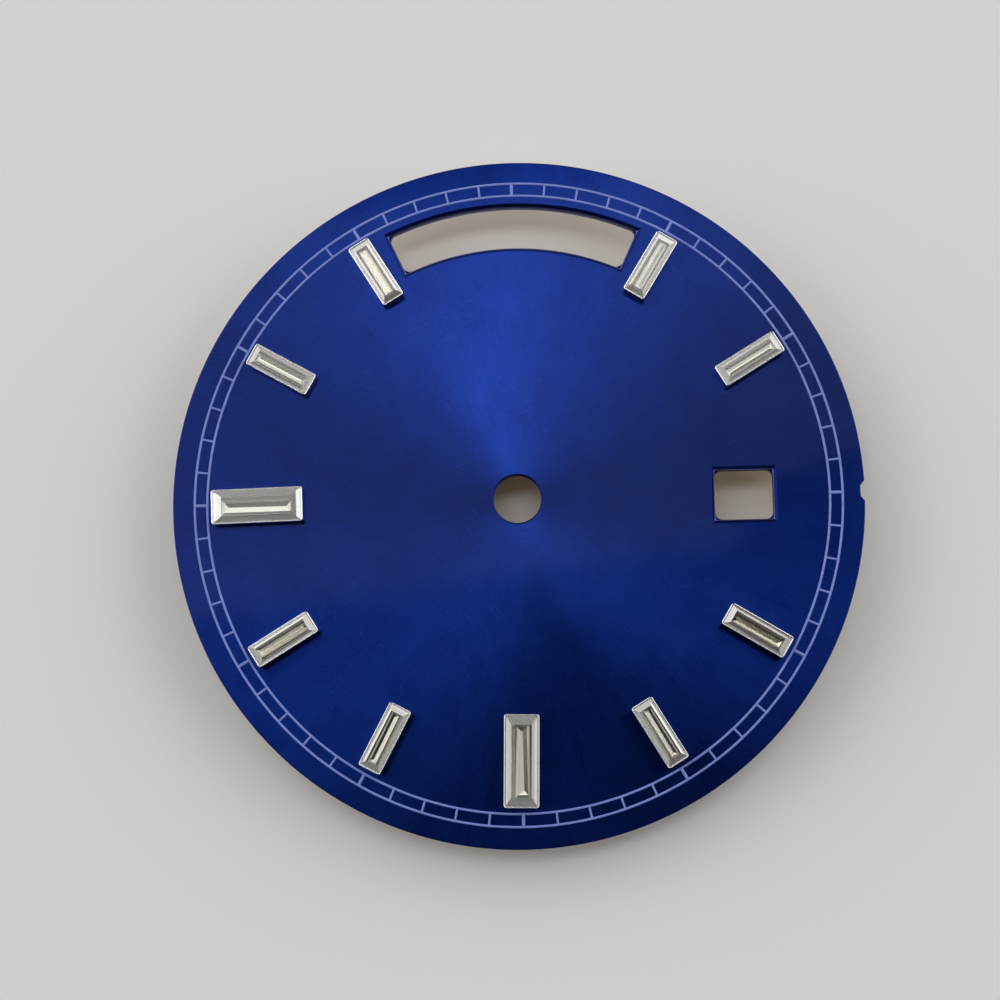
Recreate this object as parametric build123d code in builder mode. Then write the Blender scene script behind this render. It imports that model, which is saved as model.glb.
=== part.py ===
from build123d import *
import os
from math import degrees, radians, tan

# A wristwatch dial with a day window, a date window and ten stone-set hour markers.
# The origin lies on the axis of the centre hole, in the plane of the dial's back.
# +Z points out of the face, +Y to 12 o'clock and +X to 3 o'clock. Lengths are in millimetres.
os.makedirs("parts", exist_ok=True)

# Brass blank
dial_radius = 14.5
dial_thickness = 0.5
rim_round = 0.06
hand_hole_radius = 1.0
hand_hole_chamfer = 0.05
countersink_angle = 90
cut_overrun = 0.2

# Printed minute track, two rings with ticks between them
ink_height = 0.03
track_margin = 0.93
track_depth = 0.53
track_line = 0.10
minute_tick = 0.09
hour_tick = 0.13
minute_count = 60
hour_count = 12
track_outer_radius = dial_radius - track_margin
track_inner_radius = track_outer_radius - track_depth

# Hour markers: a tray for each stone, riveted through the blank by two feet
marker_gap = 0.25
marker_length = 2.9
marker_width = 1.0
large_marker_length = 3.83
large_marker_width = 1.46
marker_outer_radius = track_inner_radius - marker_gap
tray_wall = 0.07
tray_floor = 0.10
tray_corner_share = 1.7
rim_top_round = 0.03
marker_foot_radius = 0.2
marker_foot_pitch_share = 0.55
rivet_radius = 0.3
rivet_clearance = 0.02
rivet_height = (rivet_radius - marker_foot_radius) / tan(radians(countersink_angle / 2))

# Where each hour's marker sits: its turn around the dial from the exact hour, then the turn of its
# own axis from radial. Both are clockwise, in degrees, as the markers were set by hand.
marker_turns = {
    1: (0.8, 0.9),
    2: (0.2, -1.3),
    4: (0.3, 1.0),
    5: (0.0, -0.9),
    6: (0.1, 1.2),
    7: (-0.3, -1.7),
    8: (-0.2, -1.0),
    9: (-0.5, -0.9),
    10: (-0.1, -0.3),
    11: (-0.7, -0.9),
}
hour_step = 360 / hour_count

# Baguette-cut stones: keel, waist, girdle, crown and table, as heights and shares of the width
stone_clearance = 0.01
keel_clearance = 0.02
pavilion_depth = 0.38
girdle_height = 0.06
crown_height = 0.16
keel_width_share = 0.08
waist_width_share = 0.52
waist_depth_share = 0.62
crown_run_share = 0.19
seat_width = 0.05
lip_rise = 0.04
girdle_level = dial_thickness + tray_floor + keel_clearance + pavilion_depth
girdle_top = girdle_level + girdle_height
tray_top = girdle_top + lip_rise

# Windows, each with a coined bevel that falls from the face to the punched opening
bevel_width = 0.15
bevel_depth = 0.15
window_corner = 0.3
day_margin = 0.49
day_height = 1.75
day_land = 0.55
date_inset = 5.02
date_width = 2.42
date_height = 2.06
day_outer_radius = track_inner_radius - day_margin
day_inner_radius = day_outer_radius - day_height
day_middle_radius = (day_outer_radius + day_inner_radius) / 2
day_side_gap = marker_width / 2 + day_land + bevel_width
day_half_angle = hour_step + marker_turns[1][0] - degrees(day_side_gap / day_middle_radius)
date_centre = dial_radius - date_inset

# Locating notch in the rim, beside 3 o'clock
notch_depth = 0.18
notch_floor = 0.43
notch_mouth = 0.86
notch_shift = 0.06

# Copper feet on the back, each with a brazed base. They hold the dial in its movement.
dial_foot_radius = 0.35
dial_foot_length = 1.9
dial_foot_inset = 1.35
dial_foot_tip = 0.08
brazed_base_radius = 0.55
brazed_base_height = 0.12
dial_foot_clock_angle = {"right": 107, "left": 281}


def clock_plane(clock_angle, radius, height, turn=0):
    """Plane at a clock angle and a radius, with its X axis outward along the radius, plus a turn."""
    spoke = Location((0, 0, height), (0, 0, 90 - clock_angle))
    return Plane(spoke * Location((radius, 0, 0), (0, 0, -turn)))


def marker_size(hour):
    """Length and width of the marker at an hour. The quarter hours carry the large ones."""
    if hour % (hour_count // 4) == 0:
        return large_marker_length, large_marker_width
    return marker_length, marker_width


def marker_plane(hour):
    """Plane on the face under the middle of an hour's marker, with X along the marker."""
    shift, turn = marker_turns[hour]
    radius = marker_outer_radius - marker_size(hour)[0] / 2
    return clock_plane(hour * hour_step + shift, radius, dial_thickness, turn)


# Outlines of the two punched windows, before their corners are rounded
with BuildSketch() as day_window:
    with BuildLine():
        day_start = 90 - day_half_angle
        day_outer_arc = CenterArc((0, 0), day_outer_radius, day_start, 2 * day_half_angle)
        day_inner_arc = CenterArc((0, 0), day_inner_radius, day_start, 2 * day_half_angle)
        Line(day_outer_arc @ 0, day_inner_arc @ 0)
        Line(day_outer_arc @ 1, day_inner_arc @ 1)
    make_face()

with BuildSketch() as date_window:
    with Locations((date_centre, 0)):
        Rectangle(date_width, date_height)

# Dial plate: the blank with its hand hole, windows, notch and countersunk holes for the markers
with BuildPart() as dial_plate:
    with BuildSketch():
        Circle(dial_radius)
    extrude(amount=dial_thickness)
    fillet(dial_plate.edges().group_by(Axis.Z)[-1], rim_round)
    with Locations((0, 0, dial_thickness)):
        CounterSinkHole(
            hand_hole_radius,
            hand_hole_radius + hand_hole_chamfer,
            counter_sink_angle=countersink_angle,
        )

    bevel_slope = bevel_width / bevel_depth
    for window in (day_window.sketch, date_window.sketch):
        with BuildSketch(Plane.XY.offset(dial_thickness - bevel_depth)):
            add(window)
        with BuildSketch(Plane.XY.offset(dial_thickness + cut_overrun)):
            mouth_spread = bevel_width + cut_overrun * bevel_slope
            offset(window, amount=mouth_spread, kind=Kind.INTERSECTION)
        loft(ruled=True, mode=Mode.SUBTRACT)
        with BuildSketch() as punched:
            add(window)
            fillet(punched.vertices(), window_corner)
        extrude(amount=dial_thickness, mode=Mode.SUBTRACT)

    notch_flare = (notch_mouth - notch_floor) / 2 / notch_depth
    half_opening = notch_mouth / 2 + cut_overrun * notch_flare
    with BuildSketch():
        with BuildLine():
            Polyline(
                (dial_radius - notch_depth, notch_shift - notch_floor / 2),
                (dial_radius - notch_depth, notch_shift + notch_floor / 2),
                (dial_radius + cut_overrun, notch_shift + half_opening),
                (dial_radius + cut_overrun, notch_shift - half_opening),
                close=True,
            )
        make_face()
    extrude(amount=dial_thickness, mode=Mode.SUBTRACT)

    for hour in marker_turns:
        foot_offset = marker_size(hour)[0] * marker_foot_pitch_share / 2
        for side in (-1, 1):
            back_of_foot = Location((side * foot_offset, 0, -dial_thickness), (180, 0, 0))
            with Locations(marker_plane(hour).location * back_of_foot):
                CounterSinkHole(
                    marker_foot_radius + rivet_clearance,
                    rivet_radius + rivet_clearance,
                    counter_sink_angle=countersink_angle,
                )
dial_plate.part.label = "dial_plate"
export_step(dial_plate.part, "parts/dial_plate.step")

# Minute track: one connected layer of ink that stands on the face
with BuildPart() as minute_track:
    with BuildSketch(Plane.XY.offset(dial_thickness)):
        for ring_radius in (track_outer_radius, track_inner_radius):
            Circle(ring_radius + track_line / 2)
            Circle(ring_radius - track_line / 2, mode=Mode.SUBTRACT)
        track_middle_radius = (track_outer_radius + track_inner_radius) / 2
        with PolarLocations(track_middle_radius, minute_count):
            Rectangle(track_depth, minute_tick)
        with PolarLocations(track_middle_radius, hour_count):
            Rectangle(track_depth, hour_tick)
    extrude(amount=ink_height)
minute_track.part.label = "minute_track"
export_step(minute_track.part, "parts/minute_track.step")

# Copper feet: a wide brazed base against the back and a straight pin with a broken tip edge
for side, clock_angle in dial_foot_clock_angle.items():
    foot_plane = clock_plane(clock_angle, dial_radius - dial_foot_inset, 0)
    with BuildPart() as dial_foot:
        with BuildSketch(foot_plane):
            Circle(brazed_base_radius)
        extrude(amount=-brazed_base_height)
        with BuildSketch(foot_plane):
            Circle(dial_foot_radius)
        extrude(amount=-dial_foot_length)
        chamfer(dial_foot.edges().sort_by(Axis.Z)[0], dial_foot_tip)
    dial_foot.part.label = f"dial_foot_{side}"
    export_step(dial_foot.part, f"parts/dial_foot_{side}.step")

# Hour markers: each has a tray with a seat and a lip for its stone, and two riveted feet
for hour in marker_turns:
    length, width = marker_size(hour)
    face = marker_plane(hour)
    frame_gap = tray_wall + stone_clearance
    stone_length = length - 2 * frame_gap
    stone_width = width - 2 * frame_gap

    # How far each level of the stone draws in from its girdle, on every side
    waist_inset = stone_width * (1 - waist_width_share) / 2
    keel_inset = stone_width * (1 - keel_width_share) / 2
    crown_run = stone_width * crown_run_share
    waist_depth = pavilion_depth * waist_depth_share
    stone_levels = (
        (girdle_level - pavilion_depth, keel_inset),
        (girdle_level - waist_depth, waist_inset),
        (girdle_level, 0),
        (girdle_top, 0),
        (girdle_top + crown_height, crown_run),
    )

    # The tray's hollow follows the stone: a well, a seat under the girdle and a lip over it
    seat_inset = seat_width - stone_clearance
    seat_depth = seat_width * waist_depth / waist_inset
    lip_slope = crown_run / crown_height
    hollow_levels = (
        (dial_thickness + tray_floor, seat_inset),
        (girdle_level - seat_depth, seat_inset),
        (girdle_level, -stone_clearance),
        (girdle_top, -stone_clearance),
        (tray_top + cut_overrun, (lip_rise + cut_overrun) * lip_slope - stone_clearance),
    )

    with BuildPart() as marker_tray:
        with BuildSketch(face):
            RectangleRounded(length, width, tray_wall * tray_corner_share)
        extrude(amount=tray_top - dial_thickness)
        fillet(marker_tray.edges().group_by(Axis.Z)[-1], rim_top_round)
        for level, inset in hollow_levels:
            with BuildSketch(face.offset(level - dial_thickness)):
                Rectangle(stone_length - 2 * inset, stone_width - 2 * inset)
        loft(ruled=True, mode=Mode.SUBTRACT)
        foot_offset = length * marker_foot_pitch_share / 2
        for side in (-1, 1):
            with BuildSketch(face):
                with Locations((side * foot_offset, 0)):
                    Circle(marker_foot_radius)
            extrude(amount=-dial_thickness)
            with Locations(face.location * Location((side * foot_offset, 0, -dial_thickness))):
                Cone(
                    rivet_radius,
                    marker_foot_radius,
                    rivet_height,
                    align=(Align.CENTER, Align.CENTER, Align.MIN),
                )
    marker_tray.part.label = f"marker_tray_{hour}"
    export_step(marker_tray.part, f"parts/marker_tray_{hour}.step")

    with BuildPart() as marker_stone:
        for level, inset in stone_levels:
            with BuildSketch(face.offset(level - dial_thickness)):
                Rectangle(stone_length - 2 * inset, stone_width - 2 * inset)
        loft(ruled=True)
    marker_stone.part.label = f"marker_stone_{hour}"
    export_step(marker_stone.part, f"parts/marker_stone_{hour}.step")
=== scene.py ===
import math
import random

import bmesh
import bpy
from mathutils import Euler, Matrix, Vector


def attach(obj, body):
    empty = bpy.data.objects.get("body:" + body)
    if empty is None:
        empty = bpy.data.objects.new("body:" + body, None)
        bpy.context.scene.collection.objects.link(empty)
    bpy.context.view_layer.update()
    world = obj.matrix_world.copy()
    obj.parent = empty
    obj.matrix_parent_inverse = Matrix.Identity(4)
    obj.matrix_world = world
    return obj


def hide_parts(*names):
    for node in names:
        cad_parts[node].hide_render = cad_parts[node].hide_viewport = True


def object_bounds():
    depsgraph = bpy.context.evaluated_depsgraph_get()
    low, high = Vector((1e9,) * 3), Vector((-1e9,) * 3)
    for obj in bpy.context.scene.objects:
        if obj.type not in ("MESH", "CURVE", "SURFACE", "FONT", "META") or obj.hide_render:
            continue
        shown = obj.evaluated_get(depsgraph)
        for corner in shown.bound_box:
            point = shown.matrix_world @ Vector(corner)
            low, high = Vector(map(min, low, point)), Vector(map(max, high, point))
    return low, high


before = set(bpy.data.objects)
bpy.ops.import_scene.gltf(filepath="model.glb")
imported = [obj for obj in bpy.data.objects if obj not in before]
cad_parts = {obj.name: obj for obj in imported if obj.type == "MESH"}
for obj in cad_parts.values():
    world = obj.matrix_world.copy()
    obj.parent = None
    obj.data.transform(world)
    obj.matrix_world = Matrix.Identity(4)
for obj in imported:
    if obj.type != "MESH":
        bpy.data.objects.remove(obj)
cad_low, cad_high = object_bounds()

# Dial plate: a round brass blank with a hand hole, two punched windows and a notch in its rim.
# Its face is brushed outward from the middle and sprayed with clear blue lacquer, which draws back
# over every edge. The back stays bare brass, with a countersunk hole for each foot of the markers.
mm = 0.001
dial_radius = 14.5
dial_thickness = 0.5
rim_round = 0.06
burr_round = 0.02
rim_steps = 720
round_steps = 5

hand_hole_radius = 1.0
hand_hole_chamfer = 0.05
hand_hole_roll = ((0.058, 0.496), (0.046, 0.488))
hand_hole_drop = 0.01
hand_hole_steps = 144

notch_depth = 0.18
notch_floor = 0.43
notch_mouth = 0.86
notch_shift = 0.06
notch_round = 0.09
notch_run = 0.3
notch_steps = 6

bevel_width = 0.15
bevel_depth = 0.15
bevel_angle = 45
lacquer_roll = 0.05
punch_round = 0.04
bright_line_out = 0.012
bright_line_up = 0.008
window_corner = 0.3
mouth_corner = 0.03
corner_steps = 8
day_outer_radius = 12.55
day_inner_radius = 10.80
day_half_angle = 24.908
day_side_steps = (110, 10, 110, 10)
date_centre = 9.48
date_width = 2.42
date_height = 2.06
date_side_steps = (12, 12, 12, 12)

# Each corner of a window or a tray: its side across, its side up, and where its arc starts
corner_turns = ((-1, -1, 180), (1, -1, 270), (1, 1, 0), (-1, 1, 90))

hours = (1, 2, 4, 5, 6, 7, 8, 9, 10, 11)
large_hours = (6, 9)
hour_step = 30
marker_outer_radius = 12.79
marker_length = 2.9
marker_width = 1.0
large_marker_length = 3.83
large_marker_width = 1.46
marker_foot_radius = 0.2
marker_foot_pitch_share = 0.55
rivet_radius = 0.3
rivet_height = rivet_radius - marker_foot_radius
rivet_clearance = 0.02
rivet_steps = 40

# Where each hour's marker sits: its turn around the dial from the exact hour, then the turn of its
# own axis from radial. Both are clockwise, in degrees, as the markers were set by hand.
marker_turns = {
    1: (0.8, 0.9),
    2: (0.2, -1.3),
    4: (0.3, 1.0),
    5: (0.0, -0.9),
    6: (0.1, 1.2),
    7: (-0.3, -1.7),
    8: (-0.2, -1.0),
    9: (-0.5, -0.9),
    10: (-0.1, -0.3),
    11: (-0.7, -0.9),
}


def clock_point(clock_angle, distance):
    """Point on the dial at an angle in degrees clockwise from 12 and a distance from the middle."""
    angle = math.radians(90 - clock_angle)
    return Vector((distance * math.cos(angle), distance * math.sin(angle)))


def circle_loop(centre, radius, count):
    """Points of a circle, anticlockwise."""
    loop = []
    for step in range(count):
        angle = 2 * math.pi * step / count
        loop.append(centre + radius * Vector((math.cos(angle), math.sin(angle))))
    return loop


def rounded_corner(before, corner, after, radius, steps):
    """Points of the arc that rounds a corner between two straight runs."""
    back = (before - corner).normalized()
    ahead = (after - corner).normalized()
    half = back.angle(ahead) / 2
    centre = corner + (back + ahead).normalized() * radius / math.sin(half)
    start = corner + back * radius / math.tan(half) - centre
    end = corner + ahead * radius / math.tan(half) - centre
    sweep = start.angle_signed(end)
    arc = []
    for step in range(steps + 1):
        turn = -sweep * step / steps
        x = start.x * math.cos(turn) - start.y * math.sin(turn)
        y = start.x * math.sin(turn) + start.y * math.cos(turn)
        arc.append(centre + Vector((x, y)))
    return arc


def rim_outline():
    """The blank's outline, anticlockwise, with the notch's four corners rounded."""
    low = notch_shift - notch_mouth / 2
    high = notch_shift + notch_mouth / 2
    floor_x = dial_radius - notch_depth
    runs = [
        Vector((math.sqrt(dial_radius**2 - (low - notch_run) ** 2), low - notch_run)),
        Vector((math.sqrt(dial_radius**2 - low**2), low)),
        Vector((floor_x, notch_shift - notch_floor / 2)),
        Vector((floor_x, notch_shift + notch_floor / 2)),
        Vector((math.sqrt(dial_radius**2 - high**2), high)),
        Vector((math.sqrt(dial_radius**2 - (high + notch_run) ** 2), high + notch_run)),
    ]
    outline = []
    for before, corner, after in zip(runs, runs[1:], runs[2:]):
        outline += rounded_corner(before, corner, after, notch_round, notch_steps)
    first = math.atan2(runs[-1].y, runs[-1].x)
    last = 2 * math.pi + math.atan2(runs[0].y, runs[0].x)
    for step in range(rim_steps + 1):
        angle = first + (last - first) * step / rim_steps
        outline.append(dial_radius * Vector((math.cos(angle), math.sin(angle))))
    return outline


def inset(outline, distance):
    """The same outline, moved toward its inside."""
    moved = []
    for index, point in enumerate(outline):
        run = outline[(index + 1) % len(outline)] - outline[index - 1]
        moved.append(point + distance * Vector((-run.y, run.x)).normalized())
    return moved


def join_corners(corners, side_steps):
    """A closed loop through four corner arcs, with the sides between them divided evenly."""
    loop = []
    for index, arc in enumerate(corners):
        following = corners[(index + 1) % len(corners)]
        loop += arc
        for step in range(1, side_steps[index]):
            loop.append(arc[-1].lerp(following[0], step / side_steps[index]))
    return loop


def rounded_rectangle(length, width, corner, side_steps):
    """Points of a rounded rectangle about the origin, anticlockwise, with its length along X."""
    corners = []
    for across, up, start in corner_turns:
        arc = []
        for step in range(corner_steps + 1):
            turn = math.radians(start + 90 * step / corner_steps)
            x = across * (length / 2 - corner) + corner * math.cos(turn)
            y = up * (width / 2 - corner) + corner * math.sin(turn)
            arc.append(Vector((x, y)))
        corners.append(arc)
    return join_corners(corners, side_steps)


def date_loop(spread, corner):
    """The date window's outline, moved out into the plate by a spread."""
    length = date_width + 2 * spread
    width = date_height + 2 * spread
    middle = Vector((date_centre, 0))
    return [middle + point for point in rounded_rectangle(length, width, corner, date_side_steps)]


def day_loop(spread, corner):
    """The day window's outline, moved out into the plate by a spread. Its sides point at the middle."""
    corners = []
    for across, up, start in corner_turns:
        middle = day_inner_radius - spread + corner
        if up > 0:
            middle = day_outer_radius + spread - corner
        arc = []
        for step in range(corner_steps + 1):
            turn = math.radians(start + 90 * step / corner_steps)
            reach = middle + corner * math.sin(turn)
            beside = across * (spread - corner) + corner * math.cos(turn)
            arc.append(Vector((across * day_half_angle + math.degrees(beside / reach), reach)))
        corners.append(arc)
    return [clock_point(*point) for point in join_corners(corners, day_side_steps)]


def add_loop(mesh, points, height):
    """Vertices of a loop at a height."""
    return [mesh.verts.new((p.x * mm, p.y * mm, height * mm)) for p in points]


def add_wall(mesh, loops, finish_number=0):
    """Smooth faces between loops of the same count, in the order given."""
    for first, second in zip(loops, loops[1:]):
        for index in range(len(first)):
            corners = (first[index - 1], first[index], second[index], second[index - 1])
            face = mesh.faces.new(corners)
            face.smooth = True
            face.material_index = finish_number


def add_cover(mesh, loops, finish_number=0):
    """Flat triangles that fill the area between an outer loop and the holes in it."""
    edges = []
    for loop in loops:
        for index in range(len(loop)):
            edges.append(mesh.edges.get((loop[index - 1], loop[index])))
    filled = bmesh.ops.triangle_fill(mesh, use_beauty=True, edges=edges, normal=(0, 0, 1))
    for made in filled["geom"]:
        if isinstance(made, bmesh.types.BMFace):
            made.material_index = finish_number


def finish_mesh(mesh, name, sharp_angle=30):
    """A closed mesh as an object at the origin, its faces turned outward and its edges set."""
    bmesh.ops.recalc_face_normals(mesh, faces=mesh.faces)
    data = bpy.data.meshes.new(name)
    mesh.to_mesh(data)
    mesh.free()
    smooth = [polygon.use_smooth for polygon in data.polygons]
    data.set_sharp_from_angle(angle=math.radians(sharp_angle))
    data.polygons.foreach_set("use_smooth", smooth)
    piece = bpy.data.objects.new(name, data)
    bpy.context.scene.collection.objects.link(piece)
    return piece


def marker_size(hour):
    """Length and width of the marker at an hour."""
    if hour in large_hours:
        return large_marker_length, large_marker_width
    return marker_length, marker_width


def marker_place(hour):
    """Middle of an hour's marker on the dial, and the angle of its length from the X axis."""
    shift, turn = marker_turns[hour]
    length = marker_size(hour)[0]
    middle = clock_point(hour * hour_step + shift, marker_outer_radius - length / 2)
    return middle, math.radians(90 - hour * hour_step - shift - turn)


lacquered = 0
bare_back = 1
punched_edge = 2
blank = bmesh.new()
face_loops = []
back_loops = []

outline = rim_outline()
rim_loops = [add_loop(blank, inset(outline, burr_round), 0)]
rim_loops.append(add_loop(blank, outline, burr_round))
for step in range(round_steps + 1):
    slope = math.radians(90 * step / round_steps)
    drawn_in = inset(outline, rim_round * (1 - math.cos(slope)))
    height = dial_thickness - rim_round * (1 - math.sin(slope))
    rim_loops.append(add_loop(blank, drawn_in, height))
add_wall(blank, rim_loops)
back_loops.append(rim_loops[0])
face_loops.append(rim_loops[-1])

# The hand hole and both windows have a sloping edge, and the lacquer rounds it at the top and bottom.
# Each loop has a spread into the plate and a height, and a window's loop has a corner radius too.
roll_reach = lacquer_roll * math.tan(math.radians(bevel_angle / 2))
middle = Vector((0, 0))
hand_loops = []
for spread, height in (
    (hand_hole_chamfer + roll_reach, dial_thickness),
    *hand_hole_roll,
    (0.0, dial_thickness - hand_hole_chamfer - hand_hole_drop),
    (0.0, burr_round),
    (burr_round, 0.0),
):
    points = circle_loop(middle, hand_hole_radius + spread, hand_hole_steps)
    hand_loops.append(add_loop(blank, points, height))
add_wall(blank, hand_loops)
face_loops.append(hand_loops[0])
back_loops.append(hand_loops[-1])

window_edge = []
for step in range(round_steps + 1):
    slope = math.radians(bevel_angle * step / round_steps)
    spread = bevel_width + roll_reach - lacquer_roll * math.sin(slope)
    window_edge.append((spread, dial_thickness - lacquer_roll * (1 - math.cos(slope)), mouth_corner))
bevel_foot = dial_thickness - bevel_depth
window_edge.append((punch_round, bevel_foot + punch_round, mouth_corner))
window_edge.append((bright_line_out, bevel_foot + bright_line_up, mouth_corner))
window_edge.append((0.0, bevel_foot - punch_round, window_corner))
window_edge.append((0.0, burr_round, window_corner))
window_edge.append((burr_round, 0.0, window_corner))
edge_finishes = [lacquered] * (round_steps + 1) + [punched_edge] + [lacquered] * 3
for window_loop in (day_loop, date_loop):
    window_loops = []
    for spread, height, corner in window_edge:
        window_loops.append(add_loop(blank, window_loop(spread, corner), height))
    for first, second, finish_number in zip(window_loops, window_loops[1:], edge_finishes):
        add_wall(blank, [first, second], finish_number)
    face_loops.append(window_loops[0])
    back_loops.append(window_loops[-1])

for hour in hours:
    middle, angle = marker_place(hour)
    along = Vector((math.cos(angle), math.sin(angle)))
    pitch = marker_size(hour)[0] * marker_foot_pitch_share
    for side in (-0.5, 0.5):
        foot_middle = middle + side * pitch * along
        foot_loops = []
        for radius, height in (
            (marker_foot_radius + rivet_clearance, dial_thickness),
            (marker_foot_radius + rivet_clearance, rivet_height),
            (rivet_radius + rivet_clearance, 0.0),
        ):
            points = circle_loop(foot_middle, radius, rivet_steps)
            foot_loops.append(add_loop(blank, points, height))
        add_wall(blank, foot_loops, bare_back)
        face_loops.append(foot_loops[0])
        back_loops.append(foot_loops[-1])

add_cover(blank, face_loops)
add_cover(blank, back_loops, bare_back)
dial_blank = finish_mesh(blank, "lacquered_dial_plate")


def feed(tree, socket, value):
    """Sets a socket's own value, or links to it another socket or a node's first output."""
    if isinstance(value, bpy.types.Node):
        value = value.outputs[0]
    if isinstance(value, bpy.types.NodeSocket):
        tree.links.new(value, socket)
    else:
        socket.default_value = value


def set_inputs(tree, node, **inputs):
    """Feeds inputs of a node, each called by its name."""
    for name, value in inputs.items():
        feed(tree, node.inputs[name.replace("_", " ")], value)


def add_node(tree, kind, *feeds, **settings):
    """A node with its settings. Its inputs are fed in their own order, or by name as settings."""
    made = tree.nodes.new(kind)
    for name, value in settings.items():
        if hasattr(made, name):
            setattr(made, name, value)
        else:
            set_inputs(tree, made, **{name: value})
    for socket, value in zip(made.inputs, feeds):
        feed(tree, socket, value)
    return made


def add_math(tree, operation, *feeds, **settings):
    """A node that works on numbers."""
    return add_node(tree, "ShaderNodeMath", *feeds, operation=operation, **settings)


def add_vector_math(tree, operation, *feeds, **settings):
    """A node that works on vectors."""
    return add_node(tree, "ShaderNodeVectorMath", *feeds, operation=operation, **settings)


def new_group(tree_kind, name, inputs, outputs):
    """A node group, with its nodes for what comes in and goes out. A word is a kind of socket, and a
    number makes a socket for numbers that starts with it."""
    group = bpy.data.node_groups.new(name, tree_kind)
    for way, sockets in (("INPUT", inputs), ("OUTPUT", outputs)):
        for label, given in sockets.items():
            kind = given if isinstance(given, str) else {float: "Float", int: "Int"}[type(given)]
            socket = group.interface.new_socket(label, in_out=way, socket_type=f"NodeSocket{kind}")
            if kind != given:
                socket.default_value = given
    return group, group.nodes.new("NodeGroupInput"), group.nodes.new("NodeGroupOutput")


# Lines left by work done about the dial's middle: brushed ones run outward and turned ones run round
round_work, work_in, work_out = new_group(
    "ShaderNodeTree",
    "Round work",
    {"Brushed lines": 60.0, "Brushed length": 0.35, "Turned lines": 14.0},
    {"Brushed": "Float", "Turned": "Float"},
)
position = add_node(round_work, "ShaderNodeTexCoord").outputs["Object"]
flat = add_vector_math(round_work, "MULTIPLY", position, (1 / mm, 1 / mm, 0))
outward = add_vector_math(round_work, "NORMALIZE", flat)
reach = add_vector_math(round_work, "LENGTH", flat).outputs["Value"]
brushed_spread = add_vector_math(
    round_work, "SCALE", outward, Scale=work_in.outputs["Brushed lines"]
)


def work_lines(spread, rate):
    """Noise that changes with the direction and, at a rate, with the distance from the middle."""
    lift = add_node(round_work, "ShaderNodeCombineXYZ", Z=add_math(round_work, "MULTIPLY", reach, rate))
    place = add_vector_math(round_work, "ADD", spread, lift)
    return add_node(
        round_work, "ShaderNodeTexNoise", Vector=place, Scale=1.0, Detail=4.0, Roughness=0.65
    )


set_inputs(
    round_work,
    work_out,
    Brushed=work_lines(brushed_spread, work_in.outputs["Brushed length"]),
    Turned=work_lines(outward, work_in.outputs["Turned lines"]),
)

# Marks of handling: Specks is dust and pits, Haze is where a cloth or a finger has been, and Scratches
# are fine hairlines that lie together where the surface was rubbed. Each kind shows where its noise
# passes an edge, and the share lowers that edge.
speck_edge = 0.9
speck_contrast = 12.0
scratch_edge = 0.84
scratch_contrast = 8.0
scratch_length = 1.4
scratch_width = 0.035
scratch_runs = ((20, 0.52, 0.64), (-58, 0.44, 0.34))
handling, handling_in, handling_out = new_group(
    "ShaderNodeTree",
    "Handling marks",
    {"Speck size": 0.12, "Speck share": 0.1, "Haze size": 2.5, "Scratch share": 0.18},
    {"Specks": "Float", "Haze": "Float", "Scratches": "Float"},
)
position = add_node(handling, "ShaderNodeTexCoord").outputs["Object"]
place_mm = add_vector_math(handling, "SCALE", position, Scale=1 / mm)


def sized_noise(size, detail, roughness):
    """Noise with marks of the size that an input of the group gives."""
    scale = add_math(handling, "DIVIDE", 1.0, handling_in.outputs[size])
    return add_node(
        handling,
        "ShaderNodeTexNoise",
        Vector=place_mm,
        Scale=scale,
        Detail=detail,
        Roughness=roughness,
    )


def marks_past(noise, edge, share, contrast):
    """A mask of where a noise passes an edge, which an input of the group lowers."""
    lowered = add_math(handling, "SUBTRACT", edge, handling_in.outputs[share])
    cut = add_math(handling, "SUBTRACT", noise, lowered)
    return add_math(handling, "MULTIPLY", cut, contrast, use_clamp=True)


rubbed_noise = add_node(handling, "ShaderNodeTexNoise", Vector=place_mm, Scale=0.35, Detail=1.0)
scratches = []
for turn, clean_at, rubbed_at in scratch_runs:
    along_scratch = add_node(
        handling,
        "ShaderNodeMapping",
        vector_type="TEXTURE",
        Vector=place_mm,
        Rotation=(0, 0, math.radians(turn)),
        Scale=(scratch_length, scratch_width, 1),
    )
    scratch_noise = add_node(
        handling, "ShaderNodeTexNoise", Vector=along_scratch, Scale=1.0, Detail=1.0
    )
    rubbed = add_node(
        handling,
        "ShaderNodeMapRange",
        rubbed_noise,
        clean_at,
        rubbed_at,
        interpolation_type="SMOOTHSTEP",
    )
    scratched = marks_past(scratch_noise, scratch_edge, "Scratch share", scratch_contrast)
    scratches.append(add_math(handling, "MULTIPLY", scratched, rubbed))
set_inputs(
    handling,
    handling_out,
    Specks=marks_past(sized_noise("Speck size", 1.0, 0.5), speck_edge, "Speck share", speck_contrast),
    Haze=sized_noise("Haze size", 3.0, 0.6),
    Scratches=add_math(handling, "ADD", *scratches, use_clamp=True),
)


def new_finish(name, **mark_values):
    """A material, its nodes, its Principled shader and the handling marks in it."""
    material = bpy.data.materials.new(name)
    material.use_nodes = True
    nodes = material.node_tree
    marks = add_node(nodes, "ShaderNodeGroup", node_tree=handling, **mark_values)
    return material, nodes, nodes.nodes["Principled BSDF"], marks


def spread_value(tree, mask, low, high):
    """A mask's middle half spread between two numbers."""
    return add_node(tree, "ShaderNodeMapRange", mask, 0.25, 0.75, low, high)


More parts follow.
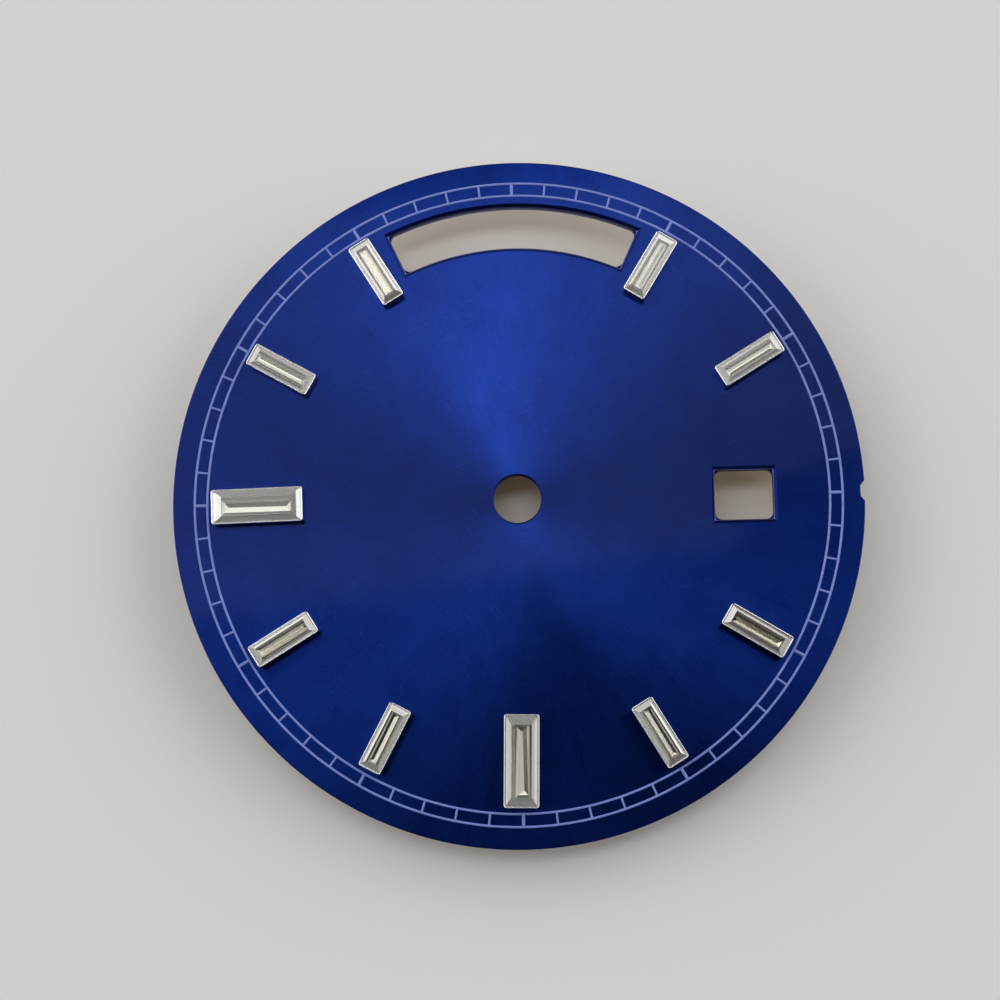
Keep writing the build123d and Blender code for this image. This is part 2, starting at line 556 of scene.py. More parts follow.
def mix_colour(tree, mask, first, second):
    """Two colours mixed by a mask. Either may be a socket of another node."""
    mix = add_node(tree, "ShaderNodeMix", data_type="RGBA", Factor=mask)
    colour_inputs = [socket for socket in mix.inputs if socket.type == "RGBA"]
    for socket, colour in zip(colour_inputs, (first, second)):
        feed(tree, socket, (*colour, 1.0) if isinstance(colour, tuple) else colour)
    return next(socket for socket in mix.outputs if socket.type == "RGBA")


def marked_colour(tree, marks, first, second, spots):
    """Two colours mixed by the haze, with specks of a third."""
    hazy = mix_colour(tree, marks.outputs["Haze"], first, second)
    return mix_colour(tree, marks.outputs["Specks"], hazy, spots)


def add_bump(tree, height, depth):
    """A bump of a depth in mm."""
    return add_node(tree, "ShaderNodeBump", Strength=1.0, Distance=depth * mm, Height=height)


# The blue lacquer lets the brushing show through. Brushing spreads the light round the dial, so the
# shine's tangent runs round its middle.
deep_blue = (0.0010, 0.0100, 0.103)
brushed_blue = (0.0017, 0.0152, 0.152)
cloud_blue = (0.004, 0.030, 0.23)
speck_blue = (0.0030, 0.023, 0.195)
scratch_blue = (0.014, 0.06, 0.34)
lacquer, nodes, shader, marks = new_finish(
    "Blue lacquer over brushed brass", Speck_size=0.09, Speck_share=0.26, Haze_size=1.7
)
work = add_node(
    nodes, "ShaderNodeGroup", node_tree=round_work, Brushed_lines=60.0, Brushed_length=0.35
)
brushed = work.outputs["Brushed"]
position = add_node(nodes, "ShaderNodeTexCoord").outputs["Object"]
scratch_mask = add_math(nodes, "MULTIPLY", marks.outputs["Scratches"], 0.4)
tone = mix_colour(nodes, spread_value(nodes, brushed, 0.0, 1.0), deep_blue, brushed_blue)
tone = mix_colour(nodes, spread_value(nodes, marks.outputs["Haze"], 0.0, 0.42), tone, cloud_blue)
tone = mix_colour(nodes, marks.outputs["Specks"], tone, speck_blue)
set_inputs(
    nodes,
    shader,
    Base_Color=mix_colour(nodes, scratch_mask, tone, scratch_blue),
    Metallic=0.94,
    Roughness=spread_value(nodes, brushed, 0.27, 0.31),
    IOR=1.5,
    Anisotropic=1.0,
    Tangent=add_vector_math(nodes, "CROSS_PRODUCT", (0, 0, 1), position),
    Coat_Weight=0.05,
    Coat_Roughness=0.06,
    Coat_IOR=1.5,
    Normal=add_bump(nodes, brushed, 0.002),
)

light_brass = (0.78, 0.56, 0.26)
dull_brass = (0.62, 0.42, 0.17)
brass_spots = (0.36, 0.22, 0.08)
back_brass, nodes, shader, marks = new_finish(
    "Bare brass back", Speck_size=0.25, Speck_share=0.22, Haze_size=3.0
)
work = add_node(nodes, "ShaderNodeGroup", node_tree=round_work, Turned_lines=9.0)
set_inputs(
    nodes,
    shader,
    Base_Color=marked_colour(nodes, marks, light_brass, dull_brass, brass_spots),
    Metallic=1.0,
    Roughness=spread_value(nodes, marks.outputs["Haze"], 0.26, 0.42),
    Normal=add_bump(nodes, work.outputs["Turned"], 0.004),
)

# At the foot of each window's bevel the punch has broken through the lacquer and left a bright edge.
bright_metal = (0.36, 0.36, 0.60)
dull_metal = (0.20, 0.21, 0.44)
bright_edge, nodes, shader, marks = new_finish("Bright punched edge", Haze_size=0.5)
set_inputs(
    nodes,
    shader,
    Base_Color=mix_colour(nodes, marks.outputs["Haze"], bright_metal, dull_metal),
    Metallic=1.0,
    Roughness=spread_value(nodes, marks.outputs["Haze"], 0.30, 0.46),
)

for finish in (lacquer, back_brass, bright_edge):
    dial_blank.data.materials.append(finish)
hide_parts("dial_plate")
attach(dial_blank, "root")

# Minute track: a ladder of two fine rings and sixty ticks, pad-printed in pale ink on the lacquer.
# The ink stands a little proud, with soft edges, and the hour ticks are wider than the others.
ring_points = 720
dome_points = 12
tick_points_along = 6
track_tree, track_in, track_out = new_group(
    "GeometryNodeTree",
    "Minute track",
    {
        "Outer radius": 13.57 * mm,
        "Inner radius": 13.04 * mm,
        "Line width": 0.10 * mm,
        "Minute tick width": 0.09 * mm,
        "Hour tick width": 0.13 * mm,
        "Ink height": 0.03 * mm,
        "Face height": dial_thickness * mm,
        "Print wander": 0.012 * mm,
        "Minutes": 60,
        "Ink": "Material",
    },
    {"Geometry": "Geometry"},
)
joined = track_tree.nodes.new("GeometryNodeJoinGeometry")


def inked_line(curve, width, caps):
    """A curve as a line of ink: a low dome in section, whose lower half lies in the lacquer."""
    dome = add_node(
        track_tree,
        "GeometryNodeCurvePrimitiveCircle",
        mode="RADIUS",
        Resolution=dome_points,
        Radius=1.0,
    )
    half = add_math(track_tree, "MULTIPLY", track_in.outputs[width], 0.5)
    size = add_node(track_tree, "ShaderNodeCombineXYZ", half, track_in.outputs["Ink height"], 1.0)
    section = add_node(track_tree, "GeometryNodeTransform", dome, Scale=size)
    upright = add_node(track_tree, "GeometryNodeSetCurveNormal", curve, mode="Z_UP")
    return add_node(
        track_tree,
        "GeometryNodeCurveToMesh",
        Curve=upright,
        Profile_Curve=section,
        Fill_Caps=caps,
    )


for ring in ("Outer radius", "Inner radius"):
    ring_curve = add_node(
        track_tree,
        "GeometryNodeCurvePrimitiveCircle",
        mode="RADIUS",
        Resolution=ring_points,
        Radius=track_in.outputs[ring],
    )
    feed(track_tree, joined.inputs[0], inked_line(ring_curve, "Line width", False))

# Ticks: one on each minute, and every fifth is an hour's
both_radii = (track_in.outputs["Outer radius"], track_in.outputs["Inner radius"])
radius_sum = add_math(track_tree, "ADD", *both_radii)
tick_length = add_math(track_tree, "SUBTRACT", *both_radii)
tick_ends = []
for share in (-0.5, 0.5):
    half_length = add_math(track_tree, "MULTIPLY", tick_length, share)
    tick_ends.append(add_node(track_tree, "ShaderNodeCombineXYZ", X=half_length))
tick_points = add_node(
    track_tree,
    "GeometryNodeMeshCircle",
    fill_type="NONE",
    Vertices=track_in.outputs["Minutes"],
    Radius=add_math(track_tree, "MULTIPLY", radius_sum, 0.5),
)
tick_place = add_node(track_tree, "GeometryNodeInputPosition")
tick_outward = add_node(track_tree, "FunctionNodeAlignEulerToVector", axis="X", Vector=tick_place)
tick_index = add_node(track_tree, "GeometryNodeInputIndex")
tick_fifth = add_math(track_tree, "MODULO", tick_index, 5)
for width, comparison in (("Minute tick width", "GREATER_THAN"), ("Hour tick width", "LESS_THAN")):
    tick_line = add_node(
        track_tree, "GeometryNodeCurvePrimitiveLine", Start=tick_ends[0], End=tick_ends[1]
    )
    tick_curve = add_node(
        track_tree,
        "GeometryNodeResampleCurve",
        mode="COUNT",
        Curve=tick_line,
        Count=tick_points_along,
    )
    ticks = add_node(
        track_tree,
        "GeometryNodeInstanceOnPoints",
        Points=tick_points,
        Selection=add_math(track_tree, comparison, tick_fifth, 0.5),
        Instance=inked_line(tick_curve, width, True),
        Rotation=tick_outward,
    )
    feed(track_tree, joined.inputs[0], ticks)

# The print wanders a little from a true line, and the whole track is lifted onto the face
realised = add_node(track_tree, "GeometryNodeRealizeInstances", joined)
wander = add_node(track_tree, "ShaderNodeTexNoise", Scale=2500.0, Detail=2.0).outputs["Color"]
wander_middle = add_vector_math(track_tree, "SUBTRACT", wander, (0.5, 0.5, 0.5))
wander_flat = add_vector_math(track_tree, "MULTIPLY", wander_middle, (1, 1, 0))
wander_size = add_vector_math(
    track_tree, "SCALE", wander_flat, Scale=track_in.outputs["Print wander"]
)
lift = add_node(track_tree, "ShaderNodeCombineXYZ", Z=track_in.outputs["Face height"])
moved = add_vector_math(track_tree, "ADD", wander_size, lift)
placed_ink = add_node(track_tree, "GeometryNodeSetPosition", realised, Offset=moved)
smooth_ink = add_node(track_tree, "GeometryNodeSetShadeSmooth", placed_ink)
inked = add_node(
    track_tree,
    "GeometryNodeSetMaterial",
    Geometry=smooth_ink,
    Material=track_in.outputs["Ink"],
)
feed(track_tree, track_out.inputs[0], inked)

thick_ink = (0.17, 0.23, 0.64)
pale_ink = (0.25, 0.32, 0.74)
thin_ink = (0.12, 0.17, 0.52)
ink, nodes, shader, marks = new_finish(
    "Pale printing ink", Speck_size=0.05, Speck_share=0.3, Haze_size=0.6
)
set_inputs(
    nodes,
    shader,
    Base_Color=marked_colour(nodes, marks, thick_ink, pale_ink, thin_ink),
    Roughness=spread_value(nodes, marks.outputs["Haze"], 0.4, 0.6),
    IOR=1.48,
    Normal=add_bump(nodes, marks.outputs["Haze"], 0.004),
)


def run_tree(tree, name, start, values):
    """An object made by a tree from a start mesh, with its inputs set by name, as a plain mesh."""
    holder = bpy.data.objects.new(name, start)
    bpy.context.scene.collection.objects.link(holder)
    modifier = holder.modifiers.new(tree.name, "NODES")
    modifier.node_group = tree
    for item in tree.interface.items_tree:
        if item.in_out == "INPUT" and item.name in values:
            modifier[item.identifier] = values[item.name]
    bpy.context.view_layer.update()
    evaluated = holder.evaluated_get(bpy.context.evaluated_depsgraph_get())
    made = bpy.data.meshes.new_from_object(evaluated)
    # An empty slot of the start mesh comes first, and it goes
    if made.materials[0] is None:
        used = [polygon.material_index - 1 for polygon in made.polygons]
        made.materials.pop(index=0)
        made.polygons.foreach_set("material_index", used)
    holder.modifiers.clear()
    holder.data = made
    made.name = name
    return holder


minute_track = run_tree(
    track_tree, "printed_minute_track", bpy.data.meshes.new("track_start"), {"Ink": ink}
)
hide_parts("minute_track")
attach(minute_track, "root")

# Dial feet: two copper pins that hold the dial in its movement. Each is turned to size, stood on the
# back and brazed, so that bright braze runs up round its base.
dial_foot_radius = 0.35
dial_foot_length = 1.9
dial_foot_inset = 1.35
dial_foot_tip = 0.08
brazed_base_radius = 0.55
dial_foot_clock_angle = {"right": 107, "left": 281}
pin_steps = 64

# Radius and level of each ring of a foot, from its tip up over the braze to the back
foot_profile = (
    (dial_foot_radius - dial_foot_tip - 0.02, -dial_foot_length),
    (dial_foot_radius - dial_foot_tip, -dial_foot_length + 0.005),
    (dial_foot_radius - 0.01, -dial_foot_length + dial_foot_tip - 0.01),
    (dial_foot_radius, -dial_foot_length + dial_foot_tip + 0.02),
    (dial_foot_radius, -1.2),
    (dial_foot_radius, -0.6),
    (dial_foot_radius, -0.22),
    (dial_foot_radius + 0.01, -0.16),
    (dial_foot_radius + 0.04, -0.115),
    (dial_foot_radius + 0.09, -0.085),
    (dial_foot_radius + 0.15, -0.06),
    (brazed_base_radius - 0.02, -0.035),
    (brazed_base_radius, 0.0),
)

braze_low = -0.24
braze_high = -0.13
bright_copper = (0.86, 0.42, 0.26)
dull_copper = (0.62, 0.27, 0.15)
copper_spots = (0.30, 0.13, 0.07)
light_braze = (0.80, 0.70, 0.50)
dull_braze = (0.60, 0.48, 0.30)
copper, nodes, shader, marks = new_finish(
    "Copper pin with a brazed base", Speck_size=0.1, Speck_share=0.25, Haze_size=0.5
)
position = add_node(nodes, "ShaderNodeTexCoord").outputs["Object"]
height = add_node(nodes, "ShaderNodeSeparateXYZ", position).outputs["Z"]
braze_mask = add_node(
    nodes,
    "ShaderNodeMapRange",
    height,
    braze_low * mm,
    braze_high * mm,
    interpolation_type="SMOOTHSTEP",
)
copper_tone = marked_colour(nodes, marks, bright_copper, dull_copper, copper_spots)
braze_tone = mix_colour(nodes, marks.outputs["Haze"], light_braze, dull_braze)
turning = add_node(
    nodes, "ShaderNodeTexNoise", noise_dimensions="1D", W=height, Scale=18000.0, Detail=2.0
)
set_inputs(
    nodes,
    shader,
    Base_Color=mix_colour(nodes, braze_mask, copper_tone, braze_tone),
    Metallic=1.0,
    Roughness=spread_value(nodes, marks.outputs["Haze"], 0.24, 0.42),
    Normal=add_bump(nodes, turning, 0.004),
)

for side, clock_angle in dial_foot_clock_angle.items():
    pin = bmesh.new()
    pin_middle = clock_point(clock_angle, dial_radius - dial_foot_inset)
    pin_loops = []
    for radius, level in foot_profile:
        pin_loops.append(add_loop(pin, circle_loop(pin_middle, radius, pin_steps), level))
    add_wall(pin, pin_loops)
    pin.faces.new(pin_loops[0])
    pin.faces.new(pin_loops[-1])
    dial_foot = finish_mesh(pin, f"copper_foot_{side}")
    dial_foot.data.materials.append(copper)
    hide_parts(f"dial_foot_{side}")
    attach(dial_foot, "root")

# Marker trays: each hour's marker is a little tray of plated brass, polished all over. Two feet go
# through the plate and are riveted over in its countersinks. Its thin rim is burnished round the stone.
tray_floor = 0.10
tray_corner = 0.119
corner_shrink = 1.6
tray_edge_in = 0.012
tray_edge_up = 0.015
tray_top = 1.10
rim_width = 0.055
girdle_level = 1.00
girdle_top = 1.06
seat_width = 0.07
seat_drop = 0.05
foot_overlap = 0.05
rivet_edge_in = 0.02
rivet_edge_up = 0.004
rivet_hollow = 0.006
tray_side_steps = (10, 4, 10, 4)

bright_plating = (0.90, 0.90, 0.89)
dull_plating = (0.80, 0.80, 0.80)
plating_spots = (0.45, 0.45, 0.46)
plating, nodes, shader, marks = new_finish(
    "Polished white plating", Speck_size=0.05, Speck_share=0.22, Haze_size=0.5
)
set_inputs(
    nodes,
    shader,
    Base_Color=marked_colour(nodes, marks, bright_plating, dull_plating, plating_spots),
    Metallic=1.0,
    Roughness=spread_value(nodes, marks.outputs["Haze"], 0.14, 0.26),
    Normal=add_bump(nodes, marks.outputs["Haze"], 0.003),
)


def tray_piece(name, length, width):
    """One tray about the origin, with its length along X and its underside at the face's level."""
    tray = bmesh.new()
    rim_radius = rim_width / 2
    levels = [(tray_edge_in, dial_thickness, tray_corner)]
    levels.append((0.0, dial_thickness + tray_edge_up, tray_corner))
    for step in range(2 * round_steps + 1):
        slope = math.radians(180 * step / (2 * round_steps))
        drawn_in = rim_radius * (1 - math.cos(slope))
        rise = tray_top - rim_radius * (1 - math.sin(slope))
        levels.append((drawn_in, rise, tray_corner - drawn_in * corner_shrink))
    inner_corner = levels[-1][2]
    levels.append((rim_width, girdle_level, inner_corner))
    levels.append((rim_width + seat_width, girdle_level - seat_drop, inner_corner))
    levels.append((rim_width + seat_width, dial_thickness + tray_floor, inner_corner))
    loops = []
    for drawn_in, rise, corner in levels:
        points = rounded_rectangle(
            length - 2 * drawn_in, width - 2 * drawn_in, corner, tray_side_steps
        )
        loops.append(add_loop(tray, points, rise))
    add_wall(tray, loops)
    tray.faces.new(loops[0])
    tray.faces.new(loops[-1])
    for side in (-0.5, 0.5):
        foot_middle = Vector((side * length * marker_foot_pitch_share, 0))
        foot_loops = []
        for radius, rise in (
            (marker_foot_radius, dial_thickness + foot_overlap),
            (marker_foot_radius, rivet_height),
            (rivet_radius, rivet_edge_up),
            (rivet_radius - rivet_edge_in, 0.0),
            (rivet_radius / 2, rivet_hollow),
        ):
            points = circle_loop(foot_middle, radius, rivet_steps)
            foot_loops.append(add_loop(tray, points, rise))
        add_wall(tray, foot_loops)
        tray.faces.new(foot_loops[0])
        tray.faces.new(foot_loops[-1])
    return finish_mesh(tray, name)


# A point for each hour, with its marker's turn and the numbers of the tray and the stone that it takes
marker_points = bpy.data.meshes.new("marker_points")
marker_points.from_pydata([(*(marker_place(hour)[0] * mm), 0) for hour in hours], [], [])
marker_points.attributes.new("turn", "FLOAT_VECTOR", "POINT")
marker_points.attributes.new("tray number", "INT", "POINT")
marker_points.attributes.new("stone number", "INT", "POINT")
for index, hour in enumerate(hours):
    turn = (0, 0, marker_place(hour)[1])
    marker_points.attributes["turn"].data[index].vector = turn
    marker_points.attributes["tray number"].data[index].value = int(hour in large_hours)
    marker_points.attributes["stone number"].data[index].value = index

marker_tree, hours_in, hours_out = new_group(
    "GeometryNodeTree",
    "Set on the hours",
    {
        "Hours": "Geometry",
        "Pieces": "Collection",
        "Number": "String",
        "Finish": "Material",
        "Backing": "Material",
        "Crown": "Material",
    },
    {"Geometry": "Geometry"},
)


def marker_value(data_type, name):
    """An attribute of the hours' points or of the pieces' faces, by its name."""
    return add_node(
        marker_tree, "GeometryNodeInputNamedAttribute", data_type=data_type, Name=name
    )


pieces_in_order = add_node(
    marker_tree,
    "GeometryNodeCollectionInfo",
    Collection=hours_in.outputs["Pieces"],
    Separate_Children=True,
)
pieces_set = add_node(
    marker_tree,
    "GeometryNodeInstanceOnPoints",
    Points=hours_in.outputs["Hours"],
    Instance=pieces_in_order,
    Pick_Instance=True,
    Instance_Index=marker_value("INT", hours_in.outputs["Number"]),
    Rotation=marker_value("FLOAT_VECTOR", "turn"),
)
finished = add_node(marker_tree, "GeometryNodeRealizeInstances", pieces_set)
for label, part in (("Finish", None), ("Backing", "backed"), ("Crown", "on crown")):
    finished = add_node(
        marker_tree,
        "GeometryNodeSetMaterial",
        Geometry=finished,
        Material=hours_in.outputs[label],
    )
    if part:
        feed(marker_tree, finished.inputs["Selection"], marker_value("BOOLEAN", part))
feed(marker_tree, hours_out.inputs[0], finished)


def set_on_hours(name, pieces, number, finishes):
    """Pieces, numbered by the order of their names, set on the hours and joined as one plain mesh."""
    loose = bpy.data.collections.new(name + "_loose")
    for piece in pieces:
        bpy.context.scene.collection.objects.unlink(piece)
        loose.objects.link(piece)
    values = {"Pieces": loose, "Number": number, **finishes}
    made = run_tree(marker_tree, name, marker_points, values)
    for piece in pieces:
        bpy.data.objects.remove(piece)
    bpy.data.collections.remove(loose)
    return made


small_tray = tray_piece("tray_a_small", marker_length, marker_width)
large_tray = tray_piece("tray_b_large", large_marker_length, large_marker_width)
plated = {"Finish": plating, "Backing": plating, "Crown": plating}
trays = set_on_hours("marker_trays", [small_tray, large_tray], "tray number", plated)
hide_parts(*[f"marker_tray_{hour}" for hour in hours])
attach(trays, "root")

# Marker stones: baguette-cut clear stones, each with a table, a stepped crown, a girdle and a stepped
# pavilion. The pavilion is silvered, and the girdle rests on white setting paste, so that light comes
# back up. The crown's steep facets half mirror the room. Glued in, then held by the tray's rim. The
# silvering and the crown also carry painted reflections: each facet's colour is set lighter or darker.
stone_clearance = 0.003
stone_index = 1.52
crown_side_share = 0.19
crown_end_share = 0.29

# The crown's rings, each with a share of its run and a rise, and the pavilion's facets from the girdle
# down, each with a slope in degrees and a share of the half width
crown_steps = ((0.0, 0.0), (0.5, 0.095), (1.0, 0.16))
pavilion_facets = ((42, 0.38), (36, 0.16), (22, 0.16), (5, 0.26))

# How each stone was cut and backed: its keel's shift to one side, its keel's turn in degrees, then
# painted reflections: how white its silvering is painted, seen through the table, and how bright its
# crown's long sides and its ends are painted
stone_cuts_and_painted_light = {
    1: (0.03, 0.8, 0.85, 0.6, 1.1),
    2: (-0.04, -0.6, 0.30, 1.2, 0.5),
    4: (-0.05, 0.5, 0.22, 0.1, 0.5),
    5: (0.04, -0.9, 0.60, 1.2, 0.3),
    6: (0.05, 2.0, 0.65, 0.1, 1.1),
    7: (-0.03, 1.2, 0.70, 0.8, 0.9),
    8: (-0.02, -0.7, 0.65, 0.9, 0.3),
    9: (0.07, -0.8, 0.65, 1.2, 0.8),
    10: (0.02, 0.6, 0.30, 1.2, 0.4),
    11: (0.05, -1.0, 0.50, 1.2, 0.4),
}

# From facet to facet the painted reflection tone differs by a stripe and a wander. A tone past these
# two is white paste.
facet_spread = 0.5
facet_wander = 0.4
paste_starts = 1.4
paste_covers = 1.8
paste_tone = 2.0
mirror_share = 0.88
facet_choice = random.Random(7)


def stone_piece(hour):
    """An hour's cut stone about the origin, with its length along X."""
    cut = bmesh.new()
    backed_layer = cut.faces.layers.bool.new("backed")
    crown_layer = cut.faces.layers.bool.new("on crown")
    painted_reflection_layer = cut.faces.layers.float.new("tone")
    length, width = marker_size(hour)
    shift, turn, silvering_painted_whiteness, crown_side_painted_light, crown_end_painted_light = stone_cuts_and_painted_light[hour]
    gap = rim_width + stone_clearance
    half_length = length / 2 - gap
    half_width = width / 2 - gap
    levels = [(0.0, 0.0, girdle_level, 0.0)]
    for slope, share in pavilion_facets:
        run = share * half_width
        drawn_in = levels[0][0] + run
        rise = levels[0][2] - run * math.tan(math.radians(slope))
        levels.insert(0, (drawn_in, drawn_in, rise, drawn_in / half_width))
    for share, rise in crown_steps:
        along = share * 2 * half_width * crown_end_share
        across = share * 2 * half_width * crown_side_share
        levels.append((along, across, girdle_top + rise, 0.0))
    lean = facet_choice.choice((-1, 1))
    loops = []
    for along, across, rise, keel_share in levels:
        angle = math.radians(turn * keel_share)
        corners = []
        for side_x, side_y in ((-1, -1), (1, -1), (1, 1), (-1, 1)):
            x = side_x * (half_length - along)
            y = side_y * (half_width - across)
            turned_x = x * math.cos(angle) - y * math.sin(angle)
            turned_y = x * math.sin(angle) + y * math.cos(angle)
            corners.append(Vector((turned_x, turned_y + shift * keel_share)))
        loops.append(add_loop(cut, corners, rise))

    # Facets from the keel up: the silvered pavilion, whose last ring lies on the paste, then the girdle
    # and the crown. A painted reflection stripe makes one long side brighter, and changes sides from
    # ring to ring. The crown's long sides and ends get their own painted brightness.
    for number, (first, second) in enumerate(zip(loops, loops[1:])):
        for index in range(4):
            facet = cut.faces.new((first[index - 1], first[index], second[index], second[index - 1]))
            facet[backed_layer] = number < len(pavilion_facets)
            facet[crown_layer] = number > len(pavilion_facets)
            stripe = lean * (0, -1, 0, 1)[index] * (-1) ** number
            stripe += facet_choice.uniform(-facet_wander, facet_wander)
            facet[painted_reflection_layer] = silvering_painted_whiteness + facet_spread * stripe
            if number == len(pavilion_facets) - 1:
                facet[painted_reflection_layer] = paste_tone
            if number > len(pavilion_facets):
                differs = facet_choice.uniform(-facet_wander, facet_wander)
                facet[painted_reflection_layer] = (crown_end_painted_light, crown_side_painted_light)[index % 2] + facet_spread * differs
    keel = cut.faces.new(loops[0])
    keel[backed_layer] = True
    keel[painted_reflection_layer] = silvering_painted_whiteness
    cut.faces.new(loops[-1])
    return finish_mesh(cut, f"stone_{hour:02d}", sharp_angle=1)


clear_glass = (0.99, 0.98, 0.95)
warm_glass = (0.96, 0.95, 0.91)
stone, nodes, shader, marks = new_finish(
    "Clear stone", Speck_size=0.03, Speck_share=0.2, Haze_size=0.4
)
set_inputs(
    nodes,
    shader,
    Base_Color=mix_colour(nodes, marks.outputs["Haze"], clear_glass, warm_glass),
    Roughness=spread_value(nodes, marks.outputs["Specks"], 0.01, 0.05),
    IOR=stone_index,
    Transmission_Weight=1.0,
)

# The silvering's colour runs from dark to white with each facet's tone: painted reflections of the
# room. Past the paste's start it turns from metal to white paste.
bright_silver = (0.99, 0.97, 0.92)
warm_silver = (0.93, 0.91, 0.85)
silver_painted_dark = (0.31, 0.28, 0.21)
silvering, nodes, shader, marks = new_finish(
    "Silvering behind the stone with painted reflections", Speck_size=0.06, Speck_share=0.2, Haze_size=0.3
)
painted_reflection_tone = add_node(nodes, "ShaderNodeAttribute", attribute_name="tone").outputs["Fac"]
silver_painted_bright = mix_colour(nodes, marks.outputs["Haze"], bright_silver, warm_silver)
set_inputs(
    nodes,
    shader,
    Base_Color=mix_colour(nodes, painted_reflection_tone, silver_painted_dark, silver_painted_bright),
    Metallic=add_node(
        nodes, "ShaderNodeMapRange", painted_reflection_tone, paste_starts, paste_covers, mirror_share, 0.0
    ),
    Roughness=spread_value(nodes, painted_reflection_tone, 0.14, 0.34),
)

# The crown's colour runs from dark to white with each facet's tone: painted reflection and shade, set
# for its long sides and its ends.
bright_facet = (1.0, 0.99, 0.97)
warm_facet = (0.90, 0.89, 0.86)
crown_painted_shade = (0.42, 0.40, 0.385)
crown, nodes, shader, marks = new_finish(
    "Crown of the stone with painted reflections", Speck_size=0.05, Speck_share=0.2, Haze_size=0.25
)
painted_reflection_tone = add_node(nodes, "ShaderNodeAttribute", attribute_name="tone").outputs["Fac"]
crown_painted_light = mix_colour(nodes, marks.outputs["Haze"], bright_facet, warm_facet)
set_inputs(
    nodes,
    shader,
    Base_Color=mix_colour(nodes, painted_reflection_tone, crown_painted_shade, crown_painted_light),
    Metallic=0.5,
    Roughness=spread_value(nodes, marks.outputs["Haze"], 0.12, 0.22),
    IOR=stone_index,
    Transmission_Weight=0.5,
)

cut_stones = [stone_piece(hour) for hour in hours]
cut_finishes = {"Finish": stone, "Backing": silvering, "Crown": crown}
stones = set_on_hours("marker_stones", cut_stones, "stone number", cut_finishes)
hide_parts(*[f"marker_stone_{hour}" for hour in hours])
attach(stones, "root")

# Floor: a plain pale sheet that the dial's feet stand on. From below it lets the camera through.
floor_level = cad_low.z
floor_reach = 4.0
floor_grey = (0.86, 0.86, 0.86, 1)
floor_data = bpy.data.meshes.new("floor")
floor_corners = []
for x, y in ((-1, -1), (1, -1), (1, 1), (-1, 1)):
    floor_corners.append((x * floor_reach, y * floor_reach, floor_level))
floor_data.from_pydata(floor_corners, [], [(0, 1, 2, 3)])
floor = bpy.data.objects.new("floor", floor_data)
bpy.context.scene.collection.objects.link(floor)
floor_paper = bpy.data.materials.new("Pale floor")
floor_paper.use_nodes = True
nodes = floor_paper.node_tree
paper = nodes.nodes["Principled BSDF"]
set_inputs(nodes, paper, Base_Color=floor_grey, Roughness=0.8, Specular_IOR_Level=0.2)
below = add_node(nodes, "ShaderNodeNewGeometry").outputs["Backfacing"]
see_through = add_node(nodes, "ShaderNodeBsdfTransparent")
choose_side = add_node(nodes, "ShaderNodeMixShader", below, paper, see_through)
set_inputs(nodes, nodes.nodes["Material Output"], Surface=choose_side)
floor_data.materials.append(floor_paper)

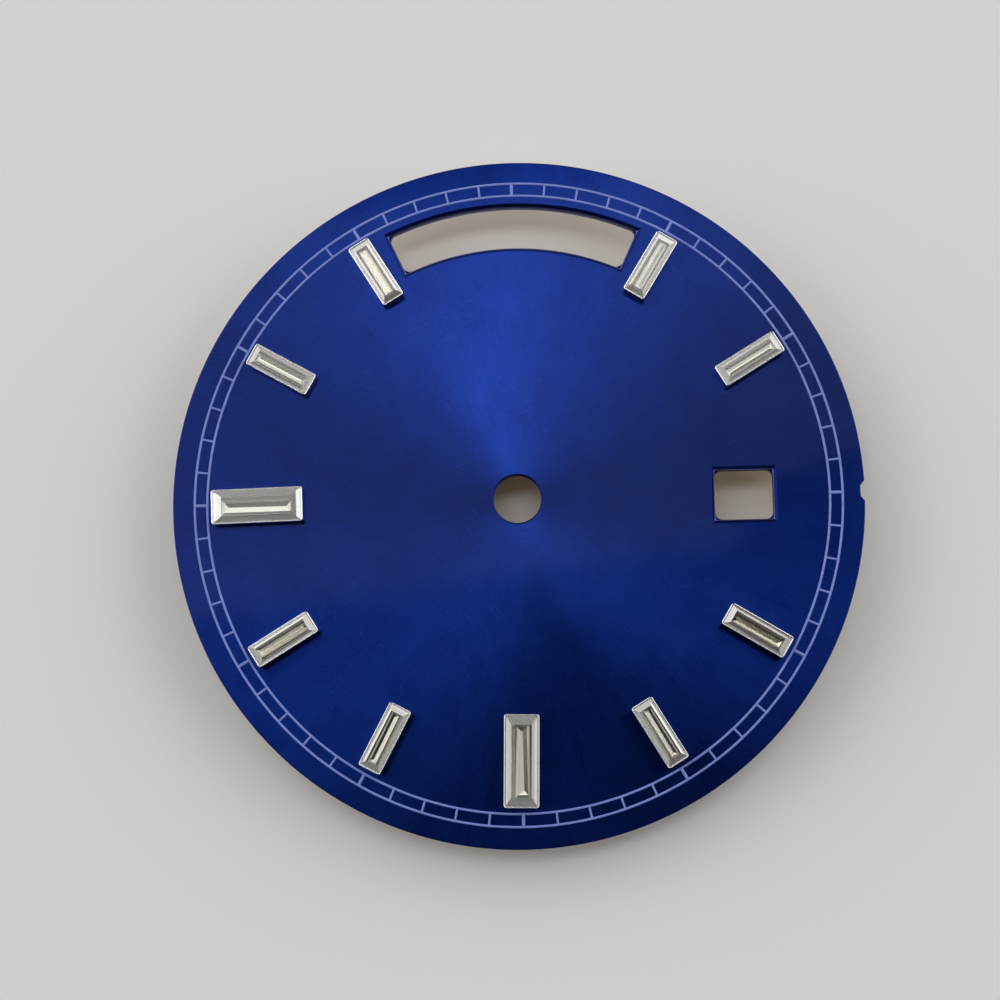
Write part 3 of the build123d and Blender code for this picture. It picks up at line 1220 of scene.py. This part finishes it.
# Light: two softboxes above, side by side and a little toward 12, two dimmer ones beyond them, and a
# room with pale walls on both sides. It is dim overhead and toward 6, where the onlooker stands.
softbox_height = 0.45
for name, across, beyond, length, depth, turn, strength in (
    ("near_left_softbox", -0.164, 0.178, 0.53, 0.23, 7, 3.6),
    ("near_right_softbox", 0.252, 0.256, 0.33, 0.17, 15, 3.7),
    ("far_left_softbox", -0.46, 0.52, 0.60, 0.42, 7, 0.8),
    ("far_right_softbox", 0.46, 0.52, 0.60, 0.42, 7, 0.35),
):
    softbox_data = bpy.data.lights.new(name, "AREA")
    softbox_data.shape = "RECTANGLE"
    softbox_data.size = length * softbox_height
    softbox_data.size_y = depth * softbox_height
    softbox_data.energy = strength * math.pi * softbox_data.size * softbox_data.size_y
    softbox = bpy.data.objects.new(name, softbox_data)
    softbox.location = Vector((across, beyond, 1.0)) * softbox_height
    softbox.rotation_euler = (0, 0, math.radians(turn))
    bpy.context.scene.collection.objects.link(softbox)

wall_strength = 1.5
overhead_strength = 0.02
end_strength = 0.10
wall_top = 48
overhead_starts = 58
overhead_angle = 60
world = bpy.data.worlds.new("room")
bpy.context.scene.world = world
world.use_nodes = True
nodes = world.node_tree
direction = add_node(nodes, "ShaderNodeTexCoord").outputs["Generated"]
upward = add_node(nodes, "ShaderNodeSeparateXYZ", direction).outputs["Z"]
level = add_vector_math(nodes, "MULTIPLY", direction, (1, 1, 0))
level_direction = add_vector_math(nodes, "NORMALIZE", level)
level_parts = add_node(nodes, "ShaderNodeSeparateXYZ", level_direction)
sideways = add_math(nodes, "ABSOLUTE", level_parts.outputs["X"])

# The pale walls fade toward both ends of the room, toward 6 and overhead
walls = None
for source, dark_at, bright_at in (
    (sideways, 0.20, 0.55),
    (level_parts.outputs["Y"], -0.65, -0.15),
    (upward, math.sin(math.radians(overhead_starts)), math.sin(math.radians(wall_top))),
):
    edge = add_node(
        nodes,
        "ShaderNodeMapRange",
        source,
        dark_at,
        bright_at,
        interpolation_type="SMOOTHSTEP",
    )
    walls = add_math(nodes, "MULTIPLY", walls, edge) if walls else edge
ends = add_node(
    nodes,
    "ShaderNodeMapRange",
    upward,
    math.sin(math.radians(overhead_angle)),
    0.0,
    overhead_strength,
    end_strength,
)
brightness = add_math(nodes, "MULTIPLY_ADD", walls, wall_strength, ends)
set_inputs(nodes, nodes.nodes["Background"], Color=(1, 1, 1, 1), Strength=brightness)

# Camera: close above the dial, a little toward 6, looking almost straight down
camera_data = bpy.data.cameras.new("camera")
camera_data.lens = 72.3
camera_data.sensor_width = 36
camera_data.clip_start = 0.001
camera_data.clip_end = 20
camera = bpy.data.objects.new("camera", camera_data)
camera.location = Vector((1.616, -10.383, 83.944)) * mm
camera.rotation_euler = Euler([math.radians(turn) for turn in (7.045, 1.736, -1.035)])
bpy.context.scene.collection.objects.link(camera)
bpy.context.scene.camera = camera
bpy.context.scene.view_settings.view_transform = "Standard"
